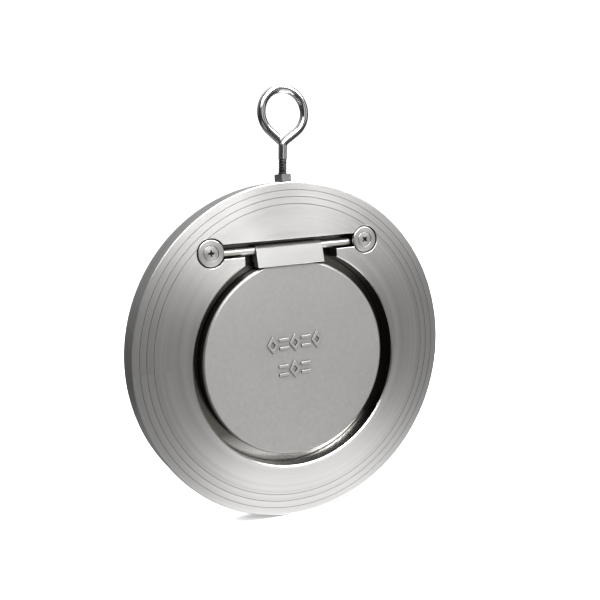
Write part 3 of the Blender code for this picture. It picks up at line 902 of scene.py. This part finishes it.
def make_lug():
    """The bar let into the flap: a leaning face, a round knuckle and the pin's hole."""
    foot = Vector((LUG_LOW.y, LUG_LOW.z))
    shoulder_rise = PIN_MIDDLE.z + KNUCKLE_RADIUS * SHOULDER_RISE - LUG_LOW.z
    shoulder = foot + Vector((math.tan(LUG_SLOPE), 1)) * shoulder_rise
    knuckle = []
    for i in range(KNUCKLE_STEPS + 1):
        angle = KNUCKLE_SWEEP * (1 - i / KNUCKLE_STEPS)
        knuckle.append((PIN_MIDDLE.y + KNUCKLE_RADIUS * math.cos(angle),
                        PIN_MIDDLE.z + KNUCKLE_RADIUS * math.sin(angle)))
    outline = [(foot.x, foot.y), (shoulder.x, shoulder.y), *knuckle,
               (PIN_MIDDLE.y + KNUCKLE_RADIUS, LUG_HEEL_Z), (LUG_FOOT_BACK, LUG_HEEL_Z),
               (LUG_FOOT_BACK, foot.y)]
    lug = drawn("hinge_lug_fine", [(LUG_LOW.x, y, z) for y, z in outline], closed=True)
    bpy.ops.mesh.select_all(action='SELECT')
    bpy.ops.mesh.remove_doubles(threshold=MERGE_DISTANCE)
    bpy.ops.mesh.edge_face_add()
    push((LUG_HIGH.x - LUG_LOW.x, 0, 0))
    close_shell()
    bevel_edges(lug, LUG_BEVEL, BEVEL_STEPS, is_lug_edge)
    hole = PIN_RADIUS + CLEARANCE
    half = [(0, -LUG_HIGH.x - BEYOND), (hole + PIN_HOLE_FLARE + BEYOND, -LUG_HIGH.x - BEYOND),
            (hole, -LUG_HIGH.x + PIN_HOLE_FLARE)]
    mirrored = [(radius, -place) for radius, place in reversed(half)]
    carve(lug, turned("pin_hole", half + mirrored, PIN_MIDDLE, SMALL_STEPS, axis=(1, 0, 0)))
    finish_piece(lug, "clapper", "hinge_lug", milled_lug_steel())


def make_pin():
    """The loose pin, with both ends turned round."""
    end = PIN_HIGH.x
    outline = rounded([(0, -end), (PIN_END_RADIUS, -end), (PIN_RADIUS, -end + PIN_END_LENGTH),
                       (PIN_RADIUS, end - PIN_END_LENGTH), (PIN_END_RADIUS, end), (0, end)],
                      PIN_END_ROUND, steps=4)
    pin = turned("hinge_pin_fine", outline, PIN_MIDDLE, SMALL_STEPS, axis=(1, 0, 0))
    finish_piece(pin, "pin", "hinge_pin", drawn_pin_steel())


def make_washer(side, finish):
    """A countersunk washer that keeps one end of the pin in its slot."""
    low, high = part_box("pin_washer_" + side)
    middle = (low + high) / 2
    radius = (high.x - low.x) / 2
    sink = SCREW_HEAD_RADIUS + CLEARANCE
    rim = rounded([(sink, low.y), (radius - WASHER_CHAMFER, low.y), (radius, low.y + WASHER_CHAMFER),
                   (radius, high.y - WASHER_BACK_CHAMFER), (radius - WASHER_BACK_CHAMFER, high.y),
                   (SCREW_HOLE_RADIUS, high.y)], TURNED_ROUND)
    outline = [*rim, (SCREW_HOLE_RADIUS, HEAD_FRONT + SCREW_HEAD_RADIUS - SCREW_RADIUS),
               (sink, HEAD_FRONT)]
    washer = turned("pin_washer_%s_fine" % side, outline, (middle.x, 0, middle.z), WASHER_STEPS,
                    closed=True)
    finish_piece(washer, "valve_body", "pin_washer_" + side, finish)


def screw_outline(low, high):
    """Half of a screw's section: domed head, countersink, thread and plain end."""
    dome = HEAD_FRONT - low.y
    cone_end = HEAD_FRONT + CLEARANCE + SCREW_HEAD_RADIUS - SCREW_RADIUS
    outline = [(SCREW_HEAD_RADIUS * share, HEAD_FRONT - dome * (1 - share * share))
               for share in DOME_SHARES]
    outline += [(SCREW_HEAD_RADIUS, HEAD_FRONT + HEAD_EDGE),
                (SCREW_HEAD_RADIUS, HEAD_FRONT + CLEARANCE), (SCREW_RADIUS, cone_end)]
    root = SCREW_RADIUS - SCREW_THREAD_DEPTH
    turns = int((high.y - cone_end - SCREW_END_LENGTH) / SCREW_THREAD_PITCH)
    for i in range(turns):
        start = cone_end + i * SCREW_THREAD_PITCH
        outline += [(root, start + SCREW_THREAD_PITCH * 0.5), (SCREW_RADIUS, start + SCREW_THREAD_PITCH)]
    return outline + [(root - SCREW_END_CHAMFER, high.y), (0, high.y)]


def cross_cutters(middle, turn):
    """The two tapered arms and the pointed middle of a cross recess, turned with their screw."""
    cutters = []
    for reach in ((CROSS_HALF_LENGTH, CROSS_HALF_WIDTH), (CROSS_HALF_WIDTH, CROSS_HALF_LENGTH)):
        arm = block("cross_arm", (-reach[0], HEAD_FRONT - BEYOND, -reach[1]),
                    (reach[0], HEAD_FRONT + CROSS_DEPTH, reach[1]))
        edit(arm)
        pick(arm, 'polygons', lambda spot, normal: normal.y > 0.9)
        bpy.ops.transform.resize(value=(CROSS_TAPER, 1, CROSS_TAPER),
                                 center_override=(0, HEAD_FRONT + CROSS_DEPTH, 0))
        bpy.ops.object.mode_set(mode='OBJECT')
        arm.data.transform(Matrix.Translation((middle.x, 0, middle.z)) @ Matrix.Rotation(turn, 4, 'Y'))
        cutters.append(arm)
    point = HEAD_FRONT + CROSS_DEPTH * CROSS_POINT
    cutters.append(turned("cross_core", [(0, HEAD_FRONT - BEYOND), (CROSS_CORE_RADIUS, HEAD_FRONT - BEYOND),
                                         (CROSS_CORE_RADIUS, HEAD_FRONT), (0, point)],
                          (middle.x, 0, middle.z), CROSS_CORE_STEPS))
    return cutters


def make_screw(side, turn, finish):
    """A raised countersunk screw with its thread and cross recess."""
    low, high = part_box("pin_screw_" + side)
    middle = (low + high) / 2
    screw = turned("pin_screw_%s_fine" % side, screw_outline(low, high), (middle.x, 0, middle.z),
                   SMALL_STEPS)
    carve(screw, *cross_cutters(middle, turn))
    finish_piece(screw, "valve_body", "pin_screw_" + side, finish)


def bolt_spot(across, along):
    """A place in the eye's own leaning plane, from the bend in the shank."""
    return Vector((BOLT_X + across * math.cos(EYE_LEAN) + along * math.sin(EYE_LEAN), 0,
                   KINK_Z - across * math.sin(EYE_LEAN) + along * math.cos(EYE_LEAN)))


def push_to(here, there):
    """Carries the open end of the wire straight on."""
    push(there - here)
    return there


def push_thread(here, there):
    """Carries the open end of the wire on, ridge by ridge."""
    turns = round((there - here).length / THREAD_PITCH)
    step = (there - here) / turns / 2
    for _ in range(turns):
        for factor in (THREAD_ROOT, 1 / THREAD_ROOT):
            here = push_to(here, here + step)
            bpy.ops.transform.resize(value=(factor,) * 3, center_override=here)
    return here


def swing(angle, centre, here):
    """Carries the open end of the wire round a bend; a bend to the right is positive."""
    steps = max(3, round(abs(angle) / BEND_STEP))
    bpy.ops.mesh.spin(steps=steps, angle=-angle, center=centre, axis=(0, 1, 0))
    return centre + Matrix.Rotation(angle, 3, 'Y') @ (here - centre)


def make_eye_bolt():
    """Bent wire: threaded foot, slight bend, shank, neck and the open-ended eye."""
    foot = Vector((bolt_spot(0, 0).x, 0, BOLT_LOW.z))
    kink = Vector((foot.x, 0, KINK_Z - KINK_RADIUS * math.tan(EYE_LEAN / 2)))
    crossing = EYE_CENTRE_HEIGHT - EYE_RADIUS / math.sin(EYE_TAPER)
    neck = crossing - EYE_NECK_BEND * math.tan(EYE_TAPER / 2)
    eye_side = EYE_RADIUS * math.cos(EYE_TAPER)
    eye_low = EYE_CENTRE_HEIGHT - EYE_RADIUS * math.sin(EYE_TAPER)

    wire = add("eye_bolt_fine", bpy.ops.mesh.primitive_circle_add, vertices=WIRE_CORNERS,
               radius=WIRE_RADIUS * THREAD_ROOT, location=foot)
    bpy.ops.object.transform_apply(location=True, rotation=True, scale=True)
    bpy.ops.object.mode_set(mode='EDIT')
    bpy.ops.mesh.select_mode(type='EDGE')
    bpy.ops.mesh.select_all(action='SELECT')
    here = push_to(foot, foot + Vector((0, 0, CLEARANCE)))
    bpy.ops.transform.resize(value=(1 / THREAD_ROOT,) * 3, center_override=here)
    here = push_thread(here, kink)
    here = swing(EYE_LEAN, kink + Vector((KINK_RADIUS, 0, 0)), here)
    here = push_thread(here, bolt_spot(0, THREAD_LENGTH))
    here = push_to(here, bolt_spot(0, neck))
    here = swing(EYE_TAPER, bolt_spot(EYE_NECK_BEND, neck), here)
    here = push_to(here, bolt_spot(eye_side, eye_low))
    here = swing(-math.pi - 2 * EYE_TAPER, bolt_spot(0, EYE_CENTRE_HEIGHT), here)
    push_to(here, bolt_spot(0, crossing))
    bpy.ops.mesh.select_more(use_face_step=True)
    bpy.ops.mesh.bisect(plane_co=bolt_spot(-WIRE_RADIUS - CLEARANCE, crossing),
                        plane_no=bolt_spot(1, 0) - bolt_spot(0, 0), clear_outer=True)
    bpy.ops.mesh.select_all(action='SELECT')
    bpy.ops.mesh.fill_holes(sides=0)
    close_shell()
    finish_piece(wire, "valve_body", "eye_bolt", polished_wire_steel())
    thread_end = bolt_spot(0, THREAD_LENGTH).z
    refinish(wire, dark_thread_steel(), lambda middle, normal: middle.z < thread_end)


def make_nut():
    """The hexagon lock nut: a hexagonal bar faced and chamfered on both sides."""
    middle = (NUT_LOW + NUT_HIGH) / 2
    corner = (NUT_HIGH.x - NUT_LOW.x) / 2
    nut = add("eye_bolt_nut_fine", bpy.ops.mesh.primitive_cylinder_add, vertices=6, radius=corner,
              depth=(NUT_HIGH.z - NUT_LOW.z) + 2 * BEYOND, location=middle,
              rotation=(0, 0, math.radians(30)))
    bpy.ops.object.transform_apply(location=True, rotation=True, scale=True)
    bevel_edges(nut, EDGE_BREAK, BEVEL_STEPS, lambda spot, run: abs(run.z) > 0.99)
    hole, flat = WIRE_RADIUS + CLEARANCE / 2, corner - NUT_FACING
    outside = corner + BEYOND
    reach = (outside - flat) * math.tan(NUT_CHAMFER_SLOPE)
    half = [(hole, middle.z), (hole, NUT_LOW.z + NUT_MOUTH), (hole + NUT_MOUTH, NUT_LOW.z),
            (flat, NUT_LOW.z), (outside, NUT_LOW.z + reach)]
    mirrored = [(radius, 2 * middle.z - place) for radius, place in reversed(half[1:])]
    blank = turned("nut_blank", half + mirrored, (middle.x, middle.y, 0), SMALL_STEPS,
                   axis=(0, 0, 1), closed=True)
    carve(nut, blank, operation='INTERSECT')
    finish_piece(nut, "valve_body", "eye_bolt_nut", bright_nut_steel())


# ---------------------------------------------------------------- studio

SOFTBOX_SIZE = 0.6
SOFTBOX_DISTANCE = 1.2

# Name, azimuth and elevation in degrees, power in watts
SOFTBOXES = (("front_card", 25, -8, 0.5), ("low_card", 25, -35, 1.5),
             ("bounce_left", 0, -60, 3.0), ("bounce_right", 80, -60, 7.0),
             ("fill_left", 0, 18, 1.0), ("fill_right", 50, 18, 1.0),
             ("key_far_left", -30, 42, 9.0), ("key_left", 0, 42, 12.0), ("key_right", 50, 42, 13.0),
             ("top_left", 0, 68, 6.0), ("top_right", 60, 68, 8.0),
             ("side_card", -50, -25, 0.5), ("rear_card", 125, -15, 0.5),
             ("rear_low", 135, -55, 5.0), ("rear_top", 135, 65, 5.0))

SURROUND_STRENGTH = 1.3

# What the metal mirrors, by the direction's height or depth: where it begins and is full, and
# how bright it is there
WALL = (-0.1, 0.4, 0.0, 0.4)
CEILING = (0.5, 0.95, 0.0, 1.4)
GROUND = (-0.3, -0.9, 0.0, 0.8)
BEHIND = (-0.1, 0.5, 0.06, 0.8)
DIMMEST = 0.04


def make_floor():
    """A wide pale floor under the ring, which the metal doesn't mirror."""
    floor = add("floor", bpy.ops.mesh.primitive_circle_add, vertices=96, radius=12.0,
                fill_type='NGON', location=(0, 0, CAD_BOX[0].z))
    material = bpy.data.materials.new("pale_floor")
    material.use_nodes = True
    shader = material.node_tree.nodes['Principled BSDF']
    shader.inputs['Base Color'].default_value = (0.95, 0.95, 0.95, 1)
    shader.inputs['Roughness'].default_value = 0.9
    shader.inputs['Specular IOR Level'].default_value = 0.0
    floor.data.materials.append(material)
    floor.visible_glossy = floor.visible_shadow = False


def make_world():
    """White all round, with a darker studio for the metal to mirror."""
    world = bpy.data.worlds.new("studio")
    bpy.context.scene.world = world
    world.use_nodes = True
    tree = world.node_tree
    tree.nodes.clear()
    path = tree.nodes.new('ShaderNodeLightPath')
    parts = tree.nodes.new('ShaderNodeSeparateXYZ')
    tree.links.new(tree.nodes.new('ShaderNodeTexCoord').outputs['Generated'], parts.inputs[0])
    surround, mirrored = (tree.nodes.new('ShaderNodeBackground') for _ in range(2))
    surround.inputs['Color'].default_value = (1, 1, 1, 1)
    surround.inputs['Strength'].default_value = SURROUND_STRENGTH
    wall = spread(tree, parts.outputs['Z'], *WALL)
    ceiling = spread(tree, parts.outputs['Z'], *CEILING)
    ground = spread(tree, parts.outputs['Z'], *GROUND)
    behind = spread(tree, parts.outputs['Y'], *BEHIND)
    shade = sums(tree, 'ADD', sums(tree, 'ADD', wall, ceiling), ground)
    wire_up(tree, sums(tree, 'MULTIPLY_ADD', shade, behind, DIMMEST), mirrored.inputs['Color'])
    mix = tree.nodes.new('ShaderNodeMixShader')
    tree.links.new(path.outputs['Is Glossy Ray'], mix.inputs['Fac'])
    tree.links.new(surround.outputs[0], mix.inputs[1])
    tree.links.new(mirrored.outputs[0], mix.inputs[2])
    output = tree.nodes.new('ShaderNodeOutputWorld')
    tree.links.new(mix.outputs[0], output.inputs['Surface'])


def make_softbox(name, azimuth, elevation, power):
    """A square softbox that faces the ring's middle. Azimuth 0 stands in front of the pocket
    side and grows to the right. Only the metal mirrors it: the floor is lit by the surround."""
    data = bpy.data.lights.new(name, 'AREA')
    data.size = SOFTBOX_SIZE
    data.energy = power
    data.diffuse_factor = 0
    light = bpy.data.objects.new(name, data)
    light.visible_camera = False
    bpy.context.scene.collection.objects.link(light)
    azimuth, elevation = math.radians(azimuth), math.radians(elevation)
    direction = Vector((math.sin(azimuth) * math.cos(elevation),
                        -math.cos(azimuth) * math.cos(elevation), math.sin(elevation)))
    light.location = direction * SOFTBOX_DISTANCE
    light.rotation_euler = (-direction).to_track_quat('-Z', 'Y').to_euler()


CAMERA_PLACE = Vector((-204.3, -447.7, 102.9)) * MM
CAMERA_AZIMUTH = math.radians(-25.37)
CAMERA_ELEVATION = math.radians(8.17)
CAMERA_ROLL = math.radians(-3.46)
CAMERA_LENS = 45.6


def make_camera():
    """The camera stands close, left of the ring's middle and a little above it."""
    data = bpy.data.cameras.new("camera")
    data.sensor_width = 36
    data.lens = CAMERA_LENS
    data.clip_start, data.clip_end = 0.02, 60
    camera = bpy.data.objects.new("camera", data)
    bpy.context.scene.collection.objects.link(camera)
    turn = (Matrix.Rotation(CAMERA_AZIMUTH, 4, 'Z')
            @ Matrix.Rotation(math.pi / 2 - CAMERA_ELEVATION, 4, 'X')
            @ Matrix.Rotation(CAMERA_ROLL, 4, 'Z'))
    camera.matrix_world = Matrix.Translation(CAMERA_PLACE) @ turn
    bpy.context.scene.camera = camera


GROUPS = {make.__name__: make() for make in (turning_marks, blasted_grain, drawn_lines,
                                             crevice_soot_and_shade, worn_and_highlit_edges, smudges)}
make_ring()
make_seal()
make_disc()
make_lug()
make_pin()
for side, turn in (("left", 0.0), ("right", math.radians(45))):
    finish = turned_keeper_steel(side)
    make_washer(side, finish)
    make_screw(side, turn, finish)
make_eye_bolt()
make_nut()

make_floor()
make_world()
for softbox in SOFTBOXES:
    make_softbox(*softbox)
make_camera()
bpy.context.scene.view_settings.view_transform = 'Standard'
